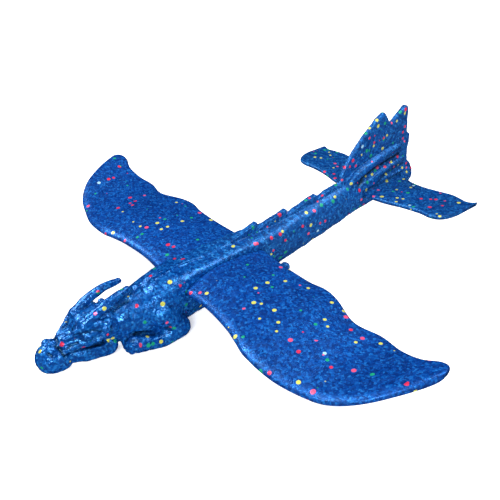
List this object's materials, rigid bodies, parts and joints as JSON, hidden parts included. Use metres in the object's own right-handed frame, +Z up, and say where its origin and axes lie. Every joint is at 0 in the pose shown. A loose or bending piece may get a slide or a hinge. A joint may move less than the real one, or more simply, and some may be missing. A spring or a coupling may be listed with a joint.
{
  "type": "hand glider",
  "caption": "Dragon-shaped foam hand glider with horned head, folded legs, curved plug-in wings, a pull-out stabiliser and a ribbed tail fin.",
  "frame": {"origin": "middle of the object's box, on the surface that it stands on", "axes": "+X along the span towards the dragon's left wing, +Y from the snout back to the tail, +Z up"},
  "size_m": [0.5038, 0.4798, 0.1584],
  "materials": {
    "body_foam": "pearly moulded bead foam",
    "wing_foam": "satin moulded bead foam",
    "steel": "plain"
  },
  "bodies": {
    "fuselage_body": {"fuselage": "body_foam", "nose_weight": "steel", "nose_plug": "body_foam"},
    "wing_left_body": {"wing_left": "wing_foam"},
    "wing_right_body": {"wing_right": "wing_foam"},
    "stabiliser_body": {"stabiliser": "wing_foam"}
  },
  "joints": [
    {"name": "wing_left_pull", "type": "slide", "parent": "fuselage_body", "child": "wing_left_body", "axis": [1, 0, 0], "range_m": [0, 0.045]},
    {"name": "wing_right_pull", "type": "slide", "parent": "fuselage_body", "child": "wing_right_body", "axis": [-1, 0, 0], "range_m": [0, 0.045]},
    {"name": "stabiliser_pull", "type": "slide", "parent": "fuselage_body", "child": "stabiliser_body", "axis": [0, 0.9989, 0.0471], "range_m": [0, 0.11]}
  ]
}
